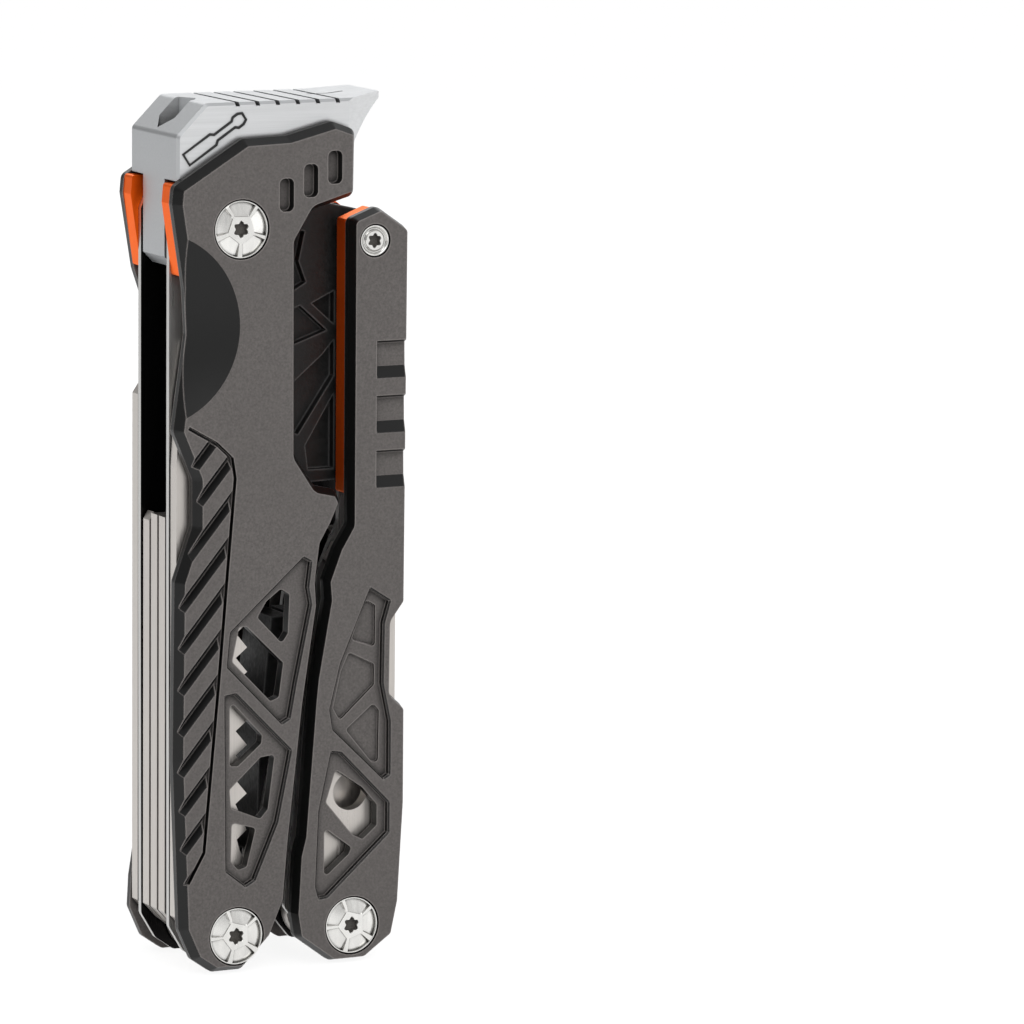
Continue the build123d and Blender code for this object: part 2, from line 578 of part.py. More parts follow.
# --- folding tools ----------------------------------------------------------------------------------------
def place(side, x, z):
    """A point of a tool, x measured outwards from its pivot; side -1 is the left handle, 1 the right."""
    pivot = LEFT_LOW if side < 0 else RIGHT_LOW
    return (pivot[0] + side * x, pivot[1] + z)


def tool(name, side, middle, thickness, outline, holes=(), scallops=()):
    """A flat folding tool with a round tang; middle is its place across Y, counted from the front."""
    with BuildPart() as blade:
        with BuildSketch(layer(middle - thickness / 2)):
            Polygon(*[place(side, x, z) for x, z in outline], align=None)
            with Locations(place(side, 0, 0)):
                Circle(3.8)
                Circle(HOLE_R, mode=Mode.SUBTRACT)
            for x, z, radius in list(holes) + list(scallops):
                with Locations(place(side, x, z)):
                    Circle(radius, mode=Mode.SUBTRACT)
        extrude(amount=thickness)
    keep(name, blade.part)


def inner_middle(index):
    """Middle of an inner tool, counted from the front of the channel."""
    return LINER_IN - INNER_GAP - INNER_T / 2 - index * (INNER_T + INNER_GAP)


TANG = [(-3.4, 6.5), (-3.6, 0.0), (0.0, -3.6), (OUTER_EDGE - 1.6, 0.6), (OUTER_EDGE, 2.4)]

KNIFE_EDGE = -2.5
SERRATED = (14.0, 38.0)  # stretch of the knife's edge with pointed teeth, up from its pivot
knife_teeth = []
for i in range(int((SERRATED[1] - SERRATED[0]) // SERRATION_PITCH)):
    top = SERRATED[1] - SERRATION_PITCH * i
    knife_teeth += [(KNIFE_EDGE, top), (KNIFE_EDGE + SERRATION_DEPTH, top - SERRATION_PITCH * 0.4)]
tool(
    "knife_blade", -1, OUTER_MID, OUTER_T,
    TANG + [
        (OUTER_EDGE, KNIFE_LENGTH - 15), (OUTER_EDGE - 0.4, KNIFE_LENGTH - 7),
        (OUTER_EDGE - 1.5, KNIFE_LENGTH),
        (OUTER_EDGE - 4.0, KNIFE_LENGTH - 4.0), (OUTER_EDGE - 6.6, KNIFE_LENGTH - 9.5),
        (OUTER_EDGE - 8.6, KNIFE_LENGTH - 17), (KNIFE_EDGE, KNIFE_LENGTH - 27),
    ] + knife_teeth + [(KNIFE_EDGE, 12.5), (-1.2, 11.4), (-1.6, 10.0)],
)

saw_edge = [(OUTER_EDGE - 2.0, SAW_LENGTH)]
tooth_count = int((SAW_LENGTH - 22) // SAW_PITCH)
for i in range(tooth_count):
    top = SAW_LENGTH - 4 - SAW_PITCH * i
    saw_edge += [(-1.4, top), (-1.4 + SAW_TOOTH, top - SAW_PITCH * 0.7)]
tool(
    "wood_saw", -1, -OUTER_MID, OUTER_T,
    TANG + [(OUTER_EDGE, SAW_LENGTH - 3)] + saw_edge + [(-1.8, 14.0), (-1.8, 10.0)],
)
tool(
    "file_blade", -1, inner_middle(0), INNER_T,
    TANG + [(OUTER_EDGE, INNER_LENGTH), (OUTER_EDGE - 7.6, INNER_LENGTH), (OUTER_EDGE - 7.6, 12.0)],
)
tool(
    "flat_driver", -1, inner_middle(1), INNER_T,
    TANG + [
        (OUTER_EDGE, INNER_LENGTH), (OUTER_EDGE - 5.0, INNER_LENGTH), (OUTER_EDGE - 4.0, INNER_LENGTH - 8),
        (OUTER_EDGE - 4.0, INNER_LENGTH - 24), (OUTER_EDGE - 7.6, INNER_LENGTH - 28),
        (OUTER_EDGE - 7.6, 12.0),
    ],
)
tool(
    "awl", -1, inner_middle(2), INNER_T,
    TANG + [
        (OUTER_EDGE, INNER_LENGTH - 1), (OUTER_EDGE - 0.6, INNER_LENGTH),
        (OUTER_EDGE - 3.4, INNER_LENGTH - 16),
        (OUTER_EDGE - 7.0, INNER_LENGTH - 26), (OUTER_EDGE - 7.6, 12.0),
    ],
)
tool(
    "bottle_opener", 1, OUTER_MID, OUTER_T,
    TANG[:1] + [(-4.4, 5.0)] + TANG[1:] + [
        (OUTER_EDGE, OPENER_LENGTH - 3), (OUTER_EDGE - 2.5, OPENER_LENGTH), (-1.0, OPENER_LENGTH),
        (-2.2, OPENER_LENGTH - 2), (1.8, OPENER_LENGTH - 5.5), (1.6, OPENER_LENGTH - 10.0),
        (-2.0, OPENER_LENGTH - 13.0), (-3.4, 28.0), (-4.4, 18.0),
    ],
    holes=[(0.9, 16.1, 2.3)],
)
tool(
    "cable_stripper", 1, -OUTER_MID, OUTER_T,
    TANG + [
        (OUTER_EDGE, OPENER_LENGTH - 4), (OUTER_EDGE - 4.0, OPENER_LENGTH),
        (OUTER_EDGE - 7.6, OPENER_LENGTH - 7),
        (OUTER_EDGE - 7.6, 12.0),
    ],
    scallops=[(OUTER_EDGE - 7.8, OPENER_LENGTH - 14, 1.3), (OUTER_EDGE - 7.8, OPENER_LENGTH - 19, 0.9)],
)
tool(
    "phillips_driver", 1, inner_middle(0), INNER_T,
    TANG + [
        (OUTER_EDGE, INNER_LENGTH - 14), (OUTER_EDGE - 1.0, INNER_LENGTH - 12),
        (OUTER_EDGE - 1.0, INNER_LENGTH - 2),
        (OUTER_EDGE - 2.2, INNER_LENGTH), (OUTER_EDGE - 3.4, INNER_LENGTH),
        (OUTER_EDGE - 4.6, INNER_LENGTH - 2),
        (OUTER_EDGE - 4.6, INNER_LENGTH - 22), (OUTER_EDGE - 7.6, INNER_LENGTH - 26),
        (OUTER_EDGE - 7.6, 12.0),
    ],
)
tool(
    "can_opener", 1, inner_middle(1), INNER_T,
    TANG + [
        (OUTER_EDGE, INNER_LENGTH - 6), (OUTER_EDGE - 1.8, INNER_LENGTH - 3),
        (OUTER_EDGE - 6.6, INNER_LENGTH - 3),
        (OUTER_EDGE - 3.8, INNER_LENGTH - 7), (OUTER_EDGE - 4.6, INNER_LENGTH - 12),
        (OUTER_EDGE - 7.6, INNER_LENGTH - 15), (OUTER_EDGE - 7.6, 12.0),
    ],
)
tool(
    "small_flat_driver", 1, inner_middle(2), INNER_T,
    TANG + [
        (OUTER_EDGE, INNER_LENGTH - 3), (OUTER_EDGE - 3.0, INNER_LENGTH - 3),
        (OUTER_EDGE - 3.0, INNER_LENGTH - 20),
        (OUTER_EDGE - 7.6, INNER_LENGTH - 25), (OUTER_EDGE - 7.6, 12.0),
    ],
)
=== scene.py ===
"""Looks of the folding multi tool: metal finishes, detailed screws, the driver mark and the studio."""

from math import cos, pi, radians, sin, tau

import bmesh
import bpy
from mathutils import Matrix, Vector


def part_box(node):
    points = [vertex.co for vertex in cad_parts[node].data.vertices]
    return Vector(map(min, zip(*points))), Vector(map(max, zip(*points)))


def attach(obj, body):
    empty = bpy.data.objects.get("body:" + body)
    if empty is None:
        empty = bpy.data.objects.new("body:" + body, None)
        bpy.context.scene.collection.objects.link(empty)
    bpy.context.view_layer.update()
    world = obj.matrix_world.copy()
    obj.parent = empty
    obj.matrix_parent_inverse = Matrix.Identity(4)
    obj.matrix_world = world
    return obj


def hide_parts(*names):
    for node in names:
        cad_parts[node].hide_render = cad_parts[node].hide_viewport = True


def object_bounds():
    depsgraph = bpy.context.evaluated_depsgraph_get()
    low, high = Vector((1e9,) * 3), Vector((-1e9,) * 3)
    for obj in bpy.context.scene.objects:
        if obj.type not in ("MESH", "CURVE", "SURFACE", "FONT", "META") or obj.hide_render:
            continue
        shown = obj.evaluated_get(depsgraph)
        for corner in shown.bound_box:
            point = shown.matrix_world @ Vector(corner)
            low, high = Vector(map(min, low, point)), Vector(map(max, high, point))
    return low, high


bl_info = {
    "name": "Folding multi tool",
    "version": (1, 0, 0),
    "blender": (4, 5, 0),
    "location": "View3D > Sidebar > Multi tool",
    "description": "Finishes a folding multi tool with a hammer head around its fixed frame",
    "category": "Object",
}

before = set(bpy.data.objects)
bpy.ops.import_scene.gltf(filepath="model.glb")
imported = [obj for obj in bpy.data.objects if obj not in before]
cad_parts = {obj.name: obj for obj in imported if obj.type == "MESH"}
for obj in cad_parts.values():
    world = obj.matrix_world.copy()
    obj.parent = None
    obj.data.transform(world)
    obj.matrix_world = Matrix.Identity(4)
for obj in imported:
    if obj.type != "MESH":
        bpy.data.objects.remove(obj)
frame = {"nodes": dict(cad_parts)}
CAD_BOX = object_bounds()
MM = 0.001
LEFT, RIGHT = "left_handle", "right_handle"


def linear(hex_colour):
    """A hex sRGB colour as linear RGBA."""
    channels = [int(hex_colour[i : i + 2], 16) / 255 for i in (1, 3, 5)]
    return [c / 12.92 if c <= 0.04045 else ((c + 0.055) / 1.055) ** 2.4 for c in channels] + [1.0]


def add(tree, kind, settings=None):
    """Adds a node.

    A setting goes by the name of an attribute, or by the name or number of an input. An input takes a value,
    or the socket that feeds it.
    """
    node = tree.nodes.new(kind)
    for name, value in (settings or {}).items():
        if not isinstance(name, int) and name not in node.inputs:
            setattr(node, name, value)
        elif isinstance(value, bpy.types.NodeSocket):
            tree.links.new(value, node.inputs[name])
        else:
            node.inputs[name].default_value = value
    return node


# --- what a user would change ---------------------------------------------------------------------
def colour(name, default, text):
    """A colour of the finishes, given as hex."""
    return bpy.props.FloatVectorProperty(
        name=name, subtype="COLOR", size=4, min=0, max=1, default=linear(default), description=text
    )


def length(name, default, text):
    """A size, given in millimetres."""
    return bpy.props.FloatProperty(
        name=name, unit="LENGTH", default=default * MM, min=0, description=text
    )


class MULTITOOL_PG_finish(bpy.types.PropertyGroup):
    """Colours of the finishes, and the sizes of their patterns."""

    scale_face: colour("Scale face", "#676361", "Sandblasted dark grey anodising on the faces of the scales")
    # the black of the bevels, the grooves and the thumb scoop is partly smooth anodising and partly painted
    # shade on sloped faces
    scale_edge_and_shade: colour("Scale edge", "#141414", "Smooth black anodising on the bevels and in the thumb scoop")
    orange: colour("Insert", "#FF6410", "Orange anodised inserts")
    head: colour("Head", "#D2D3D4", "Brushed steel on the sides of the hammer head")
    # the hammer face's grey is darker partly for its blasting and partly as painted shade on faces turned
    # from the front
    struck: colour("Hammer face", "#B2B4B6", "Fine-blasted steel on the hammer face and the bevelled corner")
    liner: colour("Liner", "#BEBDBB", "Brushed steel of the liners")
    blade: colour("Blade", "#BFBAB5", "Satin steel of the folding tools")
    frame: colour("Frame", "#151515", "Black textured coating of the centre frame")
    screw: colour("Screw", "#DAD9D6", "Polished steel of the screws")
    grit: length("Blasting grit", 0.13, "Size of the grain left by sandblasting")
    # real belt lines lie closer together, too close to show
    brush: length("Brush line", 0.14, "Spacing of the brushed lines")
    # the light line along a sharp edge is partly wear and partly a painted highlight
    wear: length("Edge wear", 0.28, "Width of the rubbed line along a sharp edge")


class MULTITOOL_PG_screws(bpy.types.PropertyGroup):
    """Sizes of the decorative screw heads."""

    facets: bpy.props.IntProperty(
        name="Pockets", default=5, min=3, max=12, description="Pockets in a large head"
    )
    hub: length("Hub", 1.5, "From the middle of a large head to a side of its hub")
    drive: length("Drive radius", 0.86, "Mean radius of the six-lobed drive")
    lobe: length("Drive lobe", 0.14, "How far a lobe stands out from the mean radius")
    rise: length("Pocket depth", 0.34, "Depth that a pocket gains from the hub to the rim")


class MULTITOOL_PG_mark(bpy.types.PropertyGroup):
    """Sizes of the driver mark on the head."""

    line: length("Line width", 0.34, "Width of the mark's line")
    span: length("Length", 9.0, "Length of the whole mark")
    tilt: bpy.props.FloatProperty(
        name="Tilt", subtype="ANGLE", default=radians(33.3), description="Slope of the mark"
    )


# --- materials ------------------------------------------------------------------------------------
NOISE_SPAN = {"From Min": 0.3, "From Max": 0.7}  # most of a noise texture's values lie in this
IN_COLOUR = {"data_type": "RGBA"}
FACTOR, FIRST, SECOND, RESULT = 0, 6, 7, 2  # sockets of a node that mixes two colours
FINE_DEPTH = 0.01 * MM  # depth of grit, brushed lines and satin
CASTING_CLOUD = 9 * MM  # faint clouds in the anodising of the scales
STEEL_CLOUD = 12 * MM  # faint clouds in brushed steel
DYE_DRIFT = 4 * MM  # patches where the orange dye took less
SATIN = 0.12 * MM  # coarser than the real satin, which would not show
SHEEN_TINT = (1, 0.9, 0.6, 1)  # the dye takes some blue out of the sheen
PEBBLE = 0.28 * MM
PEBBLE_DEPTH = 0.06 * MM
HANDLING = 0.5 * MM  # faint marks in the gloss of the screws
SOOT = 0.1 * MM
SCALE_SHADE_REACH = 0.9 * MM  # reach of the painted shade in the grooves of the scales
# reaches of the painted shade in the corners of the steel and at the pockets of the screws
STEEL_SHADE_REACH = 0.5 * MM
SCREW_SHADE_REACH = 0.4 * MM
SOCKET_SHADE = 5 * MM  # width of the hollows of the head that get dark painted shade inside
RUBBED_AND_LIT_ANODISING = 2.0  # brightness of a rubbed edge with its painted highlight, next to that of the face
# the same for the black coating, whose rubbed edges also carry a painted highlight
RUBBED_AND_LIT_COATING = 14.0
ALONG_LINE = 0.02  # how fast a brushed line changes along its length, next to across it
SHADOW_BLACK = "#2E2B2A"
# painted shade on the inner faces of the liners: its black, and the width of its soft edge
CHANNEL_SHADE_BLACK = "#141313"
CHANNEL_SHADE_EDGE = 0.1 * MM
LINER_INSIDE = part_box("rear_liner_left")[0].y
SHADE_SAMPLES = 6
MATERIALS = {}


def new_material(name):
    """An empty material and its node tree."""
    material = bpy.data.materials.new(name)
    material.use_nodes = True
    material.node_tree.nodes.clear()
    return material, material.node_tree


def close_material(tree, shader):
    """Gives the material its surface."""
    add(tree, "ShaderNodeOutputMaterial", {"Surface": shader.outputs[0]})


def grain(tree, size, stretch=(1, 1, 1), detail=3.0):
    """Noise in object space whose grains are about `size` across, drawn out by stretch."""
    place = add(tree, "ShaderNodeTexCoord")
    turn = add(tree, "ShaderNodeMapping", {"Scale": stretch, "Vector": place.outputs["Object"]})
    return add(tree, "ShaderNodeTexNoise", {
        "Scale": 1 / (2 * size), "Detail": detail, "Roughness": 0.6, "Vector": turn.outputs[0],
    }).outputs[0]


def by_grain(tree, noise, low, high):
    """A value that goes from low to high with the grain."""
    return add(tree, "ShaderNodeMapRange", {
        **NOISE_SPAN, "To Min": low, "To Max": high, "Value": noise,
    }).outputs[0]


def drifting(tree, noise, first, second, most=1.0):
    """A colour that drifts with the grain from the first to the second, of which it holds `most` at most."""
    return add(tree, "ShaderNodeMix", {
        **IN_COLOUR, FACTOR: by_grain(tree, noise, 0, most), FIRST: first, SECOND: second,
    }).outputs[RESULT]


def shaded(base, factor):
    """A colour made darker or lighter."""
    return [min(1.0, c * factor) for c in base[:3]] + [1.0]


def facing_front(tree, low, high):
    """1 where the surface faces straight to the front or the back, 0 where it slopes away."""
    place = add(tree, "ShaderNodeTexCoord")
    parts = add(tree, "ShaderNodeSeparateXYZ", {"Vector": place.outputs["Normal"]})
    flat = add(tree, "ShaderNodeMath", {"operation": "ABSOLUTE", 0: parts.outputs["Y"]})
    return add(tree, "ShaderNodeMapRange", {
        "interpolation_type": "SMOOTHSTEP", "From Min": low, "From Max": high, "Value": flat.outputs[0],
    }).outputs[0]


def near_middle(tree, reach, edge):
    """1 nearer to the middle of the tool's thickness than reach, and 0 further out."""
    place = add(tree, "ShaderNodeTexCoord")
    parts = add(tree, "ShaderNodeSeparateXYZ", {"Vector": place.outputs["Object"]})
    depth = add(tree, "ShaderNodeMath", {"operation": "ABSOLUTE", 0: parts.outputs["Y"]})
    return add(tree, "ShaderNodeMapRange", {
        "From Min": reach, "From Max": reach + edge, "To Min": 1, "To Max": 0, "Value": depth.outputs[0],
    }).outputs[0]


def wear_and_highlight(tree, width):
    """1 along a sharp edge, where handling has rubbed the finish and a highlight is painted, and 0 away from
    it.
    """
    soft = add(tree, "ShaderNodeBevel", {"samples": SHADE_SAMPLES, "Radius": width})
    sharp = add(tree, "ShaderNodeNewGeometry")
    same = add(tree, "ShaderNodeVectorMath", {
        "operation": "DOT_PRODUCT", 0: soft.outputs[0], 1: sharp.outputs["Normal"],
    })
    return add(tree, "ShaderNodeMapRange", {
        "From Min": 0.9, "From Max": 0.99, "To Min": 1, "To Max": 0, "Value": same.outputs["Value"],
    }).outputs[0]


def painted_shade(tree, reach, closed=0.35, opened=0.9):
    """Painted shade: 0 deep in a groove, hole or corner, where shade falls, and 1 in the open.

    closed and opened are the shares of open sky, within reach, that count as deep and as in the open.
    """
    shade = add(tree, "ShaderNodeAmbientOcclusion", {"samples": SHADE_SAMPLES, "Distance": reach})
    return add(tree, "ShaderNodeMapRange", {
        "From Min": closed, "From Max": opened, "To Min": 0, "To Max": 1, "Value": shade.outputs["AO"],
    }).outputs[0]


def anodised_aluminium(name, finish, slope, square):
    """Cast aluminium, sandblasted and anodised dark grey: a fine matt grain, with smooth black bevels whose
    black is partly their finish and partly painted shade.

    slope and square say how square to the front a surface has to be to carry the first and all of the grain.
    """
    material, tree = new_material(name)
    face = finish.scale_face
    front = facing_front(tree, slope, square)
    grit = grain(tree, finish.grit)
    speck = drifting(tree, grit, shaded(face, 0.78), shaded(face, 1.22))
    cloud = grain(tree, CASTING_CLOUD, detail=1.0)
    clouded = drifting(tree, cloud, speck, shaded(face, 0.86), most=0.3)
    # sloped faces turn black: partly their smoother anodising, partly painted shade
    tone = add(tree, "ShaderNodeMix", {
        **IN_COLOUR, FACTOR: front, FIRST: list(finish.scale_edge_and_shade), SECOND: clouded,
    })
    # painted shade: grooves and corners of the scales turn near black
    with_painted_shade = add(tree, "ShaderNodeMix", {
        **IN_COLOUR, FACTOR: painted_shade(tree, SCALE_SHADE_REACH), FIRST: shaded(finish.scale_edge_and_shade, 0.3),
        SECOND: tone.outputs[RESULT],
    })
    # light line along sharp edges: partly wear, partly a painted highlight
    worn_and_lit = add(tree, "ShaderNodeMix", {
        **IN_COLOUR, FACTOR: wear_and_highlight(tree, finish.wear), FIRST: with_painted_shade.outputs[RESULT],
        SECOND: shaded(face, RUBBED_AND_LIT_ANODISING),
    })
    rough = add(tree, "ShaderNodeMapRange", {"To Min": 0.38, "To Max": 0.6, "Value": front})
    bump = add(tree, "ShaderNodeBump", {"Strength": 0.3, "Distance": FINE_DEPTH, "Height": grit})
    shader = add(tree, "ShaderNodeBsdfPrincipled", {
        "Metallic": 0.2, "Specular IOR Level": 0.3, "Base Color": worn_and_lit.outputs[RESULT],
        "Roughness": rough.outputs[0], "Normal": bump.outputs[0],
    })
    close_material(tree, shader)
    return material


def brushed_steel(name, base, finish, along, roughness, contrast=0.1, blasted=None, painted_shade_within=0.0):
    """Stainless steel, brushed one way with a belt: fine straight lines and a soft stretched highlight.

    A blasted colour takes the faces that don't look to the front or the back, partly for the blasted finish
    and partly as painted shade.
    Steel nearer to the middle of the tool's thickness than the given depth is black: painted shade in the
    channel between the liners.
    """
    material, tree = new_material(name)
    stretch = [ALONG_LINE if axis == along else 1.0 for axis in "XYZ"]
    lines = grain(tree, finish.brush, stretch, detail=2.0)
    streak = drifting(tree, lines, shaded(base, 1 - contrast), shaded(base, 1 + contrast / 2))
    cloud = grain(tree, STEEL_CLOUD, detail=1.0)
    tone = drifting(tree, cloud, streak, shaded(base, 0.9), most=0.35)
    if blasted:
        # faces that turn from the front take the darker blasted grey: partly the blasted finish, partly
        # painted shade
        sided_and_shaded = add(tree, "ShaderNodeMix", {
            **IN_COLOUR, FACTOR: facing_front(tree, low=0.6, high=0.9), FIRST: list(blasted), SECOND: tone,
        })
        # painted shade: the hollows of the head, such as the bit socket, turn dark inside
        tone = add(tree, "ShaderNodeMix", {
            **IN_COLOUR, FACTOR: painted_shade(tree, SOCKET_SHADE, closed=0.1, opened=0.5),
            FIRST: linear(SHADOW_BLACK), SECOND: sided_and_shaded.outputs[RESULT],
        }).outputs[RESULT]
    # painted shade: faces near the middle of the tool's thickness turn black, as the channel between the
    # liners lies in shade
    if painted_shade_within:
        tone = add(tree, "ShaderNodeMix", {
            **IN_COLOUR, FACTOR: near_middle(tree, painted_shade_within, CHANNEL_SHADE_EDGE), FIRST: tone,
            SECOND: linear(CHANNEL_SHADE_BLACK),
        }).outputs[RESULT]
    # painted shade: corners of the steel turn dark
    with_painted_shade = add(tree, "ShaderNodeMix", {
        **IN_COLOUR, FACTOR: painted_shade(tree, STEEL_SHADE_REACH), FIRST: shaded(base, 0.12), SECOND: tone,
    })
    bump = add(tree, "ShaderNodeBump", {"Strength": 0.2, "Distance": FINE_DEPTH, "Height": lines})
    shader = add(tree, "ShaderNodeBsdfPrincipled", {
        "Metallic": 0.85, "Base Color": with_painted_shade.outputs[RESULT], "Normal": bump.outputs[0],
        "Roughness": by_grain(tree, lines, roughness - 0.05, roughness + 0.08),
    })
    close_material(tree, shader)
    return material


def orange_anodising(name, finish):
    """Aluminium anodised orange: satin, with slight colour drift where the dye took less."""
    material, tree = new_material(name)
    red, green, blue, _ = finish.orange
    deep = [red * 0.9, green * 0.75, blue * 0.6, 1]
    tone = drifting(tree, grain(tree, DYE_DRIFT, detail=2.0), list(finish.orange), deep, most=0.5)
    fine = grain(tree, SATIN)
    bump = add(tree, "ShaderNodeBump", {"Strength": 0.2, "Distance": FINE_DEPTH, "Height": fine})
    shader = add(tree, "ShaderNodeBsdfPrincipled", {
        "Metallic": 0.7, "Specular IOR Level": 0.35, "Specular Tint": SHEEN_TINT, "Base Color": tone,
        "Normal": bump.outputs[0], "Roughness": by_grain(tree, fine, 0.34, 0.44),
    })
    close_material(tree, shader)
    return material


def black_coating(name, finish):
    """Steel with a black baked coating: a pebbled skin that catches small dull highlights."""
    material, tree = new_material(name)
    base = finish.frame
    pebble = grain(tree, PEBBLE, detail=4.0)
    # light line along sharp edges: partly wear, partly a painted highlight
    worn_and_lit = add(tree, "ShaderNodeMix", {
        **IN_COLOUR, FACTOR: wear_and_highlight(tree, 1.5 * finish.wear), SECOND: shaded(base, RUBBED_AND_LIT_COATING),
        FIRST: drifting(tree, pebble, shaded(base, 0.5), shaded(base, 1.6)),
    })
    bump = add(tree, "ShaderNodeBump", {"Strength": 0.9, "Distance": PEBBLE_DEPTH, "Height": pebble})
    shader = add(tree, "ShaderNodeBsdfPrincipled", {
        "Metallic": 0.0, "Specular IOR Level": 0.35, "Base Color": worn_and_lit.outputs[RESULT],
        "Normal": bump.outputs[0], "Roughness": by_grain(tree, pebble, 0.42, 0.6),
    })
    close_material(tree, shader)
    return material


def polished_steel(name, finish):
    """Stainless steel, turned and polished: bright, with faint handling marks in its gloss."""
    material, tree = new_material(name)
    base = finish.screw
    marks = grain(tree, HANDLING, stretch=(1, 1, 0.3))
    # painted shade: inner edges of the screw's pockets turn dark
    with_painted_shade = add(tree, "ShaderNodeMix", {
        **IN_COLOUR, FACTOR: painted_shade(tree, SCREW_SHADE_REACH), FIRST: shaded(base, 0.1),
        SECOND: drifting(tree, marks, shaded(base, 0.9), shaded(base, 1.04)),
    })
    shader = add(tree, "ShaderNodeBsdfPrincipled", {
        "Metallic": 1.0, "Base Color": with_painted_shade.outputs[RESULT], "Roughness": by_grain(tree, marks, 0.14, 0.26),
    })
    close_material(tree, shader)
    return material


def oxide_and_shade_steel(name, dark, light):
    """Matt, sooty dark steel: the oxide of a laser-marked line, and painted shade inside a drive."""
    material, tree = new_material(name)
    tone = drifting(tree, grain(tree, SOOT), linear(dark), linear(light))
    shader = add(tree, "ShaderNodeBsdfPrincipled", {"Roughness": 0.7, "Base Color": tone})
    close_material(tree, shader)
    return material


def paint(node, material):
    """Gives a CAD node its finish."""
    slots = frame["nodes"][node].material_slots
    if slots:
        for slot in slots:
            slot.material = material
    else:
        frame["nodes"][node].data.materials.append(material)


class MULTITOOL_OT_finishes(bpy.types.Operator):
    """Make the finishes and put them on the frame's pieces"""

    bl_idname = "multitool.finishes"
    bl_label = "Finishes"

    FINISH_BY_WORD = (
        ("liner", "liner"), ("washer", "washer"), ("insert", "insert"), ("hammer", "head"),
        ("frame", "frame"), ("spine", "frame"), ("bolt", "screw"), ("cap", "screw"),
    )

    def execute(self, context):
        finish = context.scene.multitool_finish
        MATERIALS.update(
            # the thumb scoop of a left scale slopes little, so only squarer faces carry the grain there and
            # the scoop turns black, partly as painted shade
            scale_left=anodised_aluminium("anodised_aluminium_scooped", finish, slope=0.990, square=0.998),
            scale_right=anodised_aluminium("anodised_aluminium_plain", finish, slope=0.90, square=0.94),
            head=brushed_steel(
                "brushed_steel_head", finish.head, finish, along="X", roughness=0.38, contrast=0.08,
                blasted=finish.struck,
            ),
            # the liners' inner faces carry black painted shade
            liner=brushed_steel(
                "brushed_steel_liner", finish.liner, finish, along="Z", roughness=0.3, painted_shade_within=LINER_INSIDE
            ),
            washer=brushed_steel("plain_steel_washer", finish.liner, finish, along="Z", roughness=0.3),
            blade=brushed_steel("satin_steel_blade", finish.blade, finish, along="Z", roughness=0.32),
            insert=orange_anodising("orange_anodised_aluminium", finish),
            frame=black_coating("black_baked_coating", finish),
            screw=polished_steel("polished_steel_screw", finish),
            # painted shade: the faces inside the screws' drives are a darker matt grey
            drive=oxide_and_shade_steel("drive_painted_shade", "#45423F", "#6A6661"),
            mark=oxide_and_shade_steel("laser_engraving", "#161616", "#2B2B2B"),
        )
        for node in frame["nodes"]:
            paint(node, MATERIALS[self.finish_of(node)])
        return {"FINISHED"}

    def finish_of(self, node):
        """The finish of a piece, by its name."""
        if "scale" in node:
            return "scale_left" if node.endswith("left") else "scale_right"
        for word, finish in self.FINISH_BY_WORD:
            if word in node:
                return finish
        return "blade"


# --- screws ---------------------------------------------------------------------------------------
RIDGE = 0.4  # where the ridge between two pockets starts, as a share of the turn from pocket to pocket
DRIVE_RINGS = 3  # rings of a head that lie inside its drive
LOBES = 6
POCKET_STEPS = 5  # rings in a pocket, so that its floor can curve
SIDES_PER_POCKET = 20
SMALL_SIDES = 48
SMALL_HUB, SMALL_DRIVE, SMALL_LOBE = 0.6, 0.4, 0.07  # shares of a small head's radius
RIM_WIDTH = 0.16 * MM
RIM_BEVEL = 0.05 * MM
WALL = 0.05 * MM  # width of the steep ends of a pocket
# depths below the plane of the head's face
DRIVE_DEPTH = 0.75 * MM
DRIVE_LIP = 0.08 * MM
HUB_LEVEL = 0.02 * MM
RIDGE_LEVEL = 0.03 * MM
POCKET_LEVEL = 0.12 * MM
DISH = 0.3 * MM
RIM_LEVEL = 0.05 * MM
RIM_FOOT = 0.12 * MM
HEAD_FACE = abs(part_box("pivot_bolt_right")[0].y)
HEAD_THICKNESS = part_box("pivot_cap_right")[1].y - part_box("pivot_cap_right")[0].y
MERGE = 1e-7
LARGE_BARREL = 2.0 * MM  # radius of the barrel between two heads
SMALL_BARREL = 1.4 * MM
BARREL_SIDES = 32
FRONT_TURN, REAR_TURN = 0.6, 0.3  # turn of the first heads, in radians; each next one has 1 more


def link(name, data):
    """A new object of the scene."""
    piece = bpy.data.objects.new(name, data)
    bpy.context.scene.collection.objects.link(piece)
    return piece


def dropped(piece):
    """Removes an object and its mesh."""
    mesh = piece.data
    bpy.data.objects.remove(piece)
    bpy.data.meshes.remove(mesh)


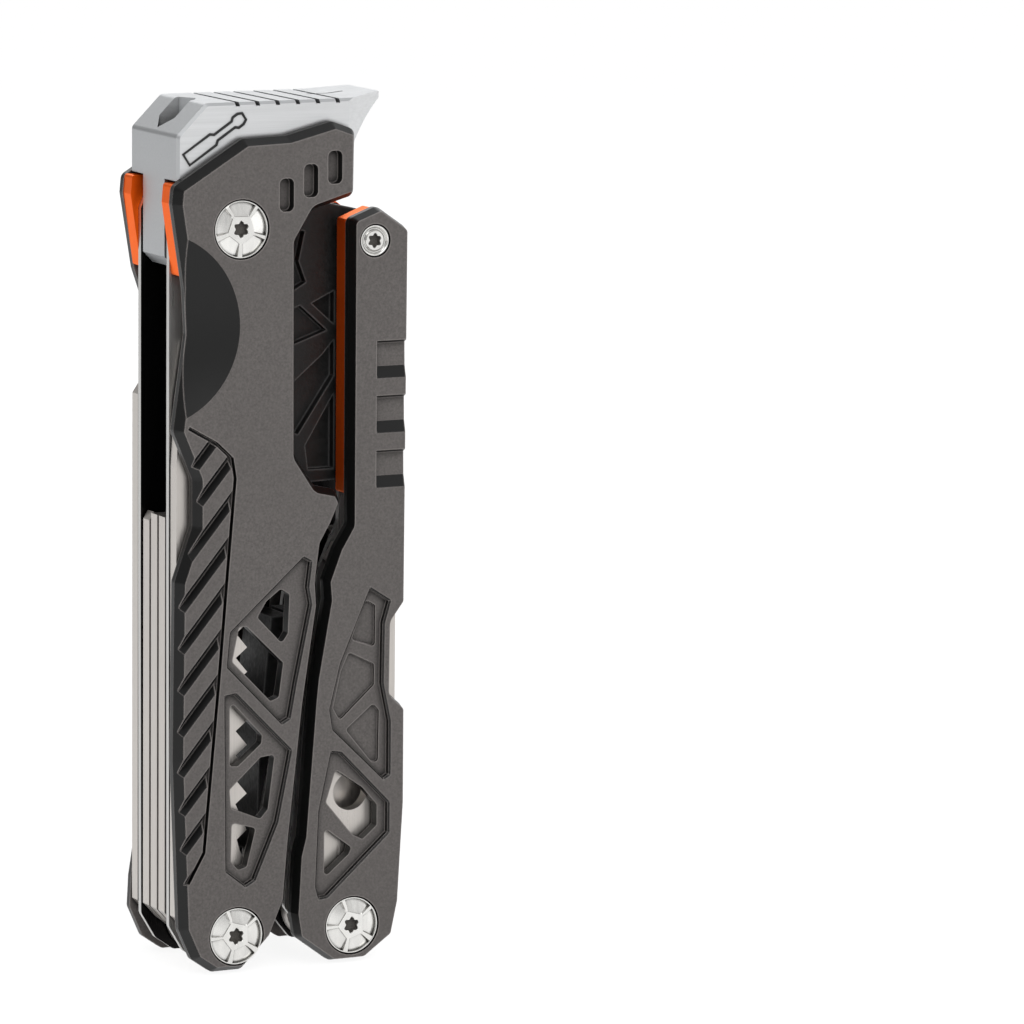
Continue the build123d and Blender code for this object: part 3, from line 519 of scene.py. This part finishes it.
def screw_rings(radius, sizes, facets):
    """Rings of a screw head from the middle of its drive out to its back edge: radius and depth at an angle.

    A large head has a many-sided hub, a pocket at each side of it and a ridge from each of its corners to the
    rim. A small head has no facets and is dished.
    """
    hub, drive, lobe = sizes.hub, sizes.drive, sizes.lobe
    if not facets:
        hub, drive, lobe = radius * SMALL_HUB, radius * SMALL_DRIVE, radius * SMALL_LOBE
    rim = radius - RIM_WIDTH

    def lobed(share):
        return lambda angle: share * (drive + lobe * cos(LOBES * angle))

    def plain(value):
        return lambda angle: value

    def share_of_pocket(angle):
        """From -0.5 at one corner of the hub to 0.5 at the next."""
        return (angle * facets / tau) % 1.0 - 0.5

    def from_hub(place):
        """From a side of the hub, at place 0, to the rim, at 1."""
        def reach(angle):
            side = hub / cos(share_of_pocket(angle) * tau / facets) if facets else hub
            return side + (rim - side) * place
        return reach

    def sunk(place):
        """How deep a pocket or the dish is."""
        def depth(angle):
            if not facets:
                return DISH * sin(pi * place)
            on_ridge = abs(share_of_pocket(angle)) > RIDGE
            return RIDGE_LEVEL if on_ridge else POCKET_LEVEL + sizes.rise * place
        return depth

    wall = WALL / (rim - hub)
    steps = [i / POCKET_STEPS for i in range(1, POCKET_STEPS)]
    return [
        (plain(0.0), plain(DRIVE_DEPTH)),
        (lobed(0.6), plain(DRIVE_DEPTH)),
        (lobed(0.97), plain(DRIVE_DEPTH)),
        (lobed(1.0), plain(DRIVE_LIP)),
        (lobed(1.07), plain(HUB_LEVEL)),
        (from_hub(0.0), plain(HUB_LEVEL)),
        *((from_hub(place), sunk(place)) for place in (wall, *steps, 1 - wall)),
        (plain(rim), plain(RIM_LEVEL)),
        (plain(radius - RIM_BEVEL), plain(RIM_LEVEL)),
        (plain(radius), plain(RIM_FOOT)),
        (plain(radius), plain(HEAD_THICKNESS)),
        (plain(0.0), plain(HEAD_THICKNESS)),
    ]


def screw_template(name, radius, sizes, facets):
    """A screw head at the origin whose face looks along -Y; the faces inside its drive are marked."""
    sides = SIDES_PER_POCKET * facets if facets else SMALL_SIDES
    shape = bmesh.new()
    inside = shape.faces.layers.bool.new("drive")
    loops = []
    for reach, depth in screw_rings(radius, sizes, facets):
        loop = []
        for i in range(sides):
            angle = tau * i / sides
            loop.append(shape.verts.new((reach(angle) * cos(angle), depth(angle), reach(angle) * sin(angle))))
        loops.append(loop)
    for number, (inner, outer) in enumerate(zip(loops, loops[1:])):
        for i in range(sides):
            j = (i + 1) % sides
            face = shape.faces.new((inner[i], inner[j], outer[j], outer[i]))
            face[inside] = number < DRIVE_RINGS
    bmesh.ops.remove_doubles(shape, verts=shape.verts, dist=MERGE)
    bmesh.ops.recalc_face_normals(shape, faces=shape.faces)
    mesh = bpy.data.meshes.new(name)
    shape.to_mesh(mesh)
    shape.free()
    return link(name, mesh)


def screw_tree(template):
    """Puts a screw head on every point, turned by the point's own angle, and paints shade into its drive."""
    tree = bpy.data.node_groups.new("Screw heads", "GeometryNodeTree")
    tree.interface.new_socket("Geometry", in_out="INPUT", socket_type="NodeSocketGeometry")
    size = tree.interface.new_socket("Size", in_out="INPUT", socket_type="NodeSocketFloat")
    size.default_value = 1.0
    tree.interface.new_socket("Geometry", in_out="OUTPUT", socket_type="NodeSocketGeometry")
    source = add(tree, "NodeGroupInput")
    head = add(tree, "GeometryNodeObjectInfo", {"Object": template})
    turn = add(tree, "GeometryNodeInputNamedAttribute", {"data_type": "FLOAT_VECTOR", "Name": "turn"})
    spin = add(tree, "FunctionNodeEulerToRotation", {"Euler": turn.outputs["Attribute"]})
    placed = add(tree, "GeometryNodeInstanceOnPoints", {
        "Points": source.outputs[0], "Instance": head.outputs["Geometry"],
        "Rotation": spin.outputs[0], "Scale": source.outputs["Size"],
    })
    real = add(tree, "GeometryNodeRealizeInstances", {"Geometry": placed.outputs[0]})
    bright = add(tree, "GeometryNodeSetMaterial", {
        "Material": MATERIALS["screw"], "Geometry": real.outputs[0],
    })
    inside = add(tree, "GeometryNodeInputNamedAttribute", {"data_type": "BOOLEAN", "Name": "drive"})
    # painted shade: the faces inside the drive take the darker matt grey
    dark = add(tree, "GeometryNodeSetMaterial", {
        "Material": MATERIALS["drive"], "Geometry": bright.outputs[0],
        "Selection": inside.outputs["Attribute"],
    })
    add(tree, "NodeGroupOutput", {"Geometry": dark.outputs[0]})
    return tree, size.identifier


def screw_heads(name, places, template):
    """One mesh with a screw head at each place; a place is a point and the turn of the head."""
    points = bpy.data.meshes.new(name)
    points.from_pydata([point for point, _ in places], [], [])
    turns = points.attributes.new("turn", "FLOAT_VECTOR", "POINT")
    for i, (_, turn) in enumerate(places):
        turns.data[i].vector = turn
    seeds = link(name + "_points", points)
    tree, size = screw_tree(template)
    modifier = seeds.modifiers.new("Screws", "NODES")
    modifier.node_group = tree
    modifier[size] = 1.0
    graph = bpy.context.evaluated_depsgraph_get()
    mesh = bpy.data.meshes.new_from_object(seeds.evaluated_get(graph))
    seeds.modifiers.clear()
    dropped(seeds)
    for polygon in mesh.polygons:
        polygon.use_smooth = False
    return link(name, mesh)


def add_barrels(piece, places, radius):
    """Adds the barrel that joins each front head to its rear head."""
    shape = bmesh.new()
    shape.from_mesh(piece.data)
    for (x, y, z), _ in places:
        if y < 0:
            turned = Matrix.Translation((x, 0, z)) @ Matrix.Rotation(pi / 2, 4, "X")
            bmesh.ops.create_cone(
                shape, cap_ends=True, segments=BARREL_SIDES, radius1=radius, radius2=radius,
                depth=2 * (abs(y) - HEAD_THICKNESS), matrix=turned,
            )
    shape.to_mesh(piece.data)
    shape.free()


def solid_places(node):
    """Middles in X and Z of the separate screws in a CAD node, low ones first, and their head radius."""
    low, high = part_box(node)
    if node != "pivot_bolts_left":
        middle = (low + high) / 2
        return [(middle.x, middle.z)], (high.x - low.x) / 2
    radius = solid_places("pivot_bolt_right")[1]
    return [(low.x + radius, low.z + radius), (high.x - radius, high.z - radius)], radius


class MULTITOOL_OT_screws(bpy.types.Operator):
    """Put a six-lobed screw head at both ends of every pivot: faceted on the large pivots, dished on the
    handle pivot
    """

    bl_idname = "multitool.screws"
    bl_label = "Screws"

    def execute(self, context):
        sizes = context.scene.multitool_screws
        large = solid_places("pivot_bolt_right")[1]
        small = solid_places("handle_pivot_bolt")[1]
        faceted = screw_template("large_head", large, sizes, sizes.facets)
        plain = screw_template("small_head", small, sizes, 0)
        jobs = (
            ("pivot_screws_left", "pivot_bolts_left", "pivot_caps_left", faceted, LARGE_BARREL, LEFT),
            ("pivot_screw_right", "pivot_bolt_right", "pivot_cap_right", faceted, LARGE_BARREL, RIGHT),
            ("handle_pivot_screw", "handle_pivot_bolt", "handle_pivot_cap", plain, SMALL_BARREL, RIGHT),
        )
        for name, bolt, cap, template, barrel_radius, body in jobs:
            places = []
            for i, (x, z) in enumerate(solid_places(bolt)[0]):
                places.append(((x, -HEAD_FACE, z), (0, FRONT_TURN + i, 0)))
                places.append(((x, HEAD_FACE, z), (0, REAR_TURN + i, pi)))
            piece = screw_heads(name, places, template)
            add_barrels(piece, places, barrel_radius)
            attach(piece, body)
            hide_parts(bolt, cap)
        dropped(faceted)
        dropped(plain)
        return {"FINISHED"}


# --- driver mark ----------------------------------------------------------------------------------
# along the driver and out from its middle, as shares of its length
DRIVER_PROFILE = (
    (0.0, 0.086), (0.463, 0.086), (0.51, 0.047), (0.815, 0.047), (0.855, 0.083), (0.94, 0.083), (1.0, 0.052),
)
HEAD_SIDE = abs(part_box("hammer_head")[0].y)
MARK_FROM_LEFT = 1.2 * MM
MARK_FROM_TOP = 7.15 * MM
MARK_OUT = 0.01 * MM  # middle of the line, out from the side of the head
LINE_ROUNDNESS = 2


class MULTITOOL_OT_mark(bpy.types.Operator):
    """Draw a driver on the side of the hammer head, with a thin black line in place of laser engraving"""

    bl_idname = "multitool.mark"
    bl_label = "Driver mark"

    def execute(self, context):
        mark = context.scene.multitool_mark
        upper = [(along * mark.span, out * mark.span) for along, out in DRIVER_PROFILE]
        outline = upper + [(x, -z) for x, z in reversed(upper)]
        low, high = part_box("hammer_head")
        start = Vector((low.x + MARK_FROM_LEFT, -HEAD_SIDE - MARK_OUT, high.z - MARK_FROM_TOP))
        slope = Matrix.Rotation(-mark.tilt, 4, "Y")
        curve = bpy.data.curves.new("driver_mark", "CURVE")
        curve.dimensions = "3D"
        curve.bevel_depth = mark.line / 2
        curve.bevel_resolution = LINE_ROUNDNESS
        line = curve.splines.new("POLY")
        line.points.add(len(outline) - 1)
        line.use_cyclic_u = True
        for point, (x, z) in zip(line.points, outline):
            point.co = (*(start + slope @ Vector((x, 0, z))), 1)
        holder = link("driver_mark_line", curve)
        graph = bpy.context.evaluated_depsgraph_get()
        mesh = bpy.data.meshes.new_from_object(holder.evaluated_get(graph))
        bpy.data.objects.remove(holder)
        bpy.data.curves.remove(curve)
        mesh.materials.clear()
        mesh.materials.append(MATERIALS["mark"])
        piece = link("driver_mark", mesh)
        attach(piece, LEFT)
        return {"FINISHED"}


# --- studio ---------------------------------------------------------------------------------------
PAPER = (0.85, 0.85, 0.85, 1)
PAPER_GLOW = 0.64  # what the camera sees on top of the light that falls on the paper
MIRRORED_GLOW = 0.62  # the same in reflections
PAPER_CLEAR = 0.68
FLOOR_SIZE = 6
FLOOR_LEVEL = -0.0002
# name, place, size and watts
LAMPS = (
    ("key", (-0.15, -0.42, 0.42), (0.42, 0.42), 1.25),
    ("side", (0.75, -0.55, 0.35), (0.5, 0.8), 1.0),
    ("back", (0.3, 0.8, 0.5), (0.8, 0.5), 1.6),
)
WHITE = linear("#FFFFFF")
LIGHT_SIDE = (0.75, -0.25, 0.6)  # direction in which the room is lightest
ROOM_LEVEL = {"From Min": -0.7, "From Max": 0.7, "To Min": 0.3, "To Max": 0.85}
FILL_LEVEL = 0.42
AZIMUTH, ELEVATION, ROLL = radians(-27.04), radians(8.85), radians(0.54)
DISTANCE = 0.838
AIM = Vector((0.0343, 0.0, 0.0526))
LENS = 237.3
SENSOR = 36
NEAREST = 0.01


def seen(tree, path):
    """1 for what the camera sees, directly or through glass."""
    return add(tree, "ShaderNodeMath", {
        "operation": "MAXIMUM", 0: path.outputs["Is Camera Ray"], 1: path.outputs["Is Transmission Ray"],
    }).outputs[0]


def white_paper():
    """Matt paper that keeps the shadow and is plain white to the camera and in reflections.

    The camera sees partly through it, because the tools at the lower pivots fold out below the level that the
    tool stands on.
    """
    material, tree = new_material("white_paper")
    path = add(tree, "ShaderNodeLightPath")
    paper = add(tree, "ShaderNodeBsdfDiffuse", {"Color": PAPER})
    mirrored = add(tree, "ShaderNodeMath", {
        "operation": "MULTIPLY", 0: path.outputs["Is Glossy Ray"], 1: MIRRORED_GLOW,
    })
    power = add(tree, "ShaderNodeMath", {
        "operation": "MULTIPLY_ADD", 0: seen(tree, path), 1: PAPER_GLOW, 2: mirrored.outputs[0],
    })
    glow = add(tree, "ShaderNodeEmission", {"Strength": power.outputs[0]})
    white = add(tree, "ShaderNodeAddShader", {0: paper.outputs[0], 1: glow.outputs[0]})
    clear = add(tree, "ShaderNodeMath", {
        "operation": "MULTIPLY", 0: path.outputs["Is Camera Ray"], 1: PAPER_CLEAR,
    })
    through = add(tree, "ShaderNodeBsdfTransparent")
    close_material(tree, add(tree, "ShaderNodeMixShader", {
        0: clear.outputs[0], 1: white.outputs[0], 2: through.outputs[0],
    }))
    return material


def area_light(name, place, target, size, power):
    """A soft lamp that looks at the target and that the camera doesn't see."""
    data = bpy.data.lights.new(name, "AREA")
    data.shape = "RECTANGLE"
    data.size, data.size_y = size
    data.energy = power
    lamp = link(name, data)
    lamp.location = place
    lamp.rotation_euler = (Vector(target) - Vector(place)).to_track_quat("-Z", "Y").to_euler()
    lamp.visible_camera = False


class MULTITOOL_OT_studio(bpy.types.Operator):
    """Set up the floor, the soft light and the camera"""

    bl_idname = "multitool.studio"
    bl_label = "Studio"

    def execute(self, context):
        scene = context.scene
        bpy.ops.mesh.primitive_plane_add(size=FLOOR_SIZE, location=(0, 0, FLOOR_LEVEL))
        floor = context.object
        floor.name = "floor"
        floor.data.materials.append(white_paper())
        floor.visible_shadow = False
        middle = (Vector(CAD_BOX[0]) + Vector(CAD_BOX[1])) / 2
        for name, place, size, power in LAMPS:
            area_light(name, place, middle, size, power)
        self.make_world(scene)
        self.place_camera(scene)
        scene.view_settings.view_transform = "Standard"
        return {"FINISHED"}

    def make_world(self, scene):
        """A soft room, lighter above and to the right, that the camera sees as plain white."""
        world = scene.world or bpy.data.worlds.new("studio")
        scene.world = world
        world.use_nodes = True
        tree = world.node_tree
        tree.nodes.clear()
        path = add(tree, "ShaderNodeLightPath")
        place = add(tree, "ShaderNodeTexCoord")
        side = add(tree, "ShaderNodeVectorMath", {
            "operation": "DOT_PRODUCT", 0: place.outputs["Generated"], 1: LIGHT_SIDE,
        })
        level = add(tree, "ShaderNodeMapRange", {**ROOM_LEVEL, "Value": side.outputs["Value"]})
        mirrored = add(tree, "ShaderNodeBackground", {"Color": WHITE, "Strength": level.outputs[0]})
        fill = add(tree, "ShaderNodeBackground", {"Color": WHITE, "Strength": FILL_LEVEL})
        backdrop = add(tree, "ShaderNodeBackground", {"Color": WHITE, "Strength": 1.0})
        room = add(tree, "ShaderNodeMixShader", {
            0: path.outputs["Is Glossy Ray"], 1: fill.outputs[0], 2: mirrored.outputs[0],
        })
        whole = add(tree, "ShaderNodeMixShader", {
            0: seen(tree, path), 1: room.outputs[0], 2: backdrop.outputs[0],
        })
        add(tree, "ShaderNodeOutputWorld", {"Surface": whole.outputs[0]})

    def place_camera(self, scene):
        """A long lens, to the left of the tool and a little above it."""
        camera = link("camera", bpy.data.cameras.new("camera"))
        camera.data.lens = LENS
        camera.data.sensor_width = SENSOR
        camera.data.clip_start = NEAREST
        away = Vector((sin(AZIMUTH) * cos(ELEVATION), -cos(AZIMUTH) * cos(ELEVATION), sin(ELEVATION)))
        camera.location = AIM + DISTANCE * away
        look = (-away).to_track_quat("-Z", "Y").to_matrix().to_4x4()
        camera.rotation_euler = (look @ Matrix.Rotation(ROLL, 4, "Z")).to_euler()
        scene.camera = camera


class MULTITOOL_PT_panel(bpy.types.Panel):
    """Lists the steps that dress the tool"""

    bl_label = "Multi tool"
    bl_idname = "MULTITOOL_PT_panel"
    bl_space_type = "VIEW_3D"
    bl_region_type = "UI"
    bl_category = "Multi tool"

    def draw(self, context):
        for operator in OPERATORS:
            self.layout.operator(operator.bl_idname)
        for name in GROUPS:
            settings = getattr(context.scene, name)
            for prop in settings.bl_rna.properties:
                if prop.identifier not in ("rna_type", "name"):
                    self.layout.prop(settings, prop.identifier)


OPERATORS = (MULTITOOL_OT_finishes, MULTITOOL_OT_screws, MULTITOOL_OT_mark, MULTITOOL_OT_studio)
GROUPS = {
    "multitool_finish": MULTITOOL_PG_finish,
    "multitool_screws": MULTITOOL_PG_screws,
    "multitool_mark": MULTITOOL_PG_mark,
}


def register():
    for group in GROUPS.values():
        bpy.utils.register_class(group)
    for operator in OPERATORS:
        bpy.utils.register_class(operator)
    bpy.utils.register_class(MULTITOOL_PT_panel)
    for name, group in GROUPS.items():
        setattr(bpy.types.Scene, name, bpy.props.PointerProperty(type=group))


def unregister():
    for name in GROUPS:
        delattr(bpy.types.Scene, name)
    bpy.utils.unregister_class(MULTITOOL_PT_panel)
    for operator in reversed(OPERATORS):
        bpy.utils.unregister_class(operator)
    for group in reversed(GROUPS.values()):
        bpy.utils.unregister_class(group)


def main():
    register()
    bpy.ops.multitool.finishes()
    bpy.ops.multitool.screws()
    bpy.ops.multitool.mark()
    bpy.ops.multitool.studio()


if __name__ == "__main__":
    main()
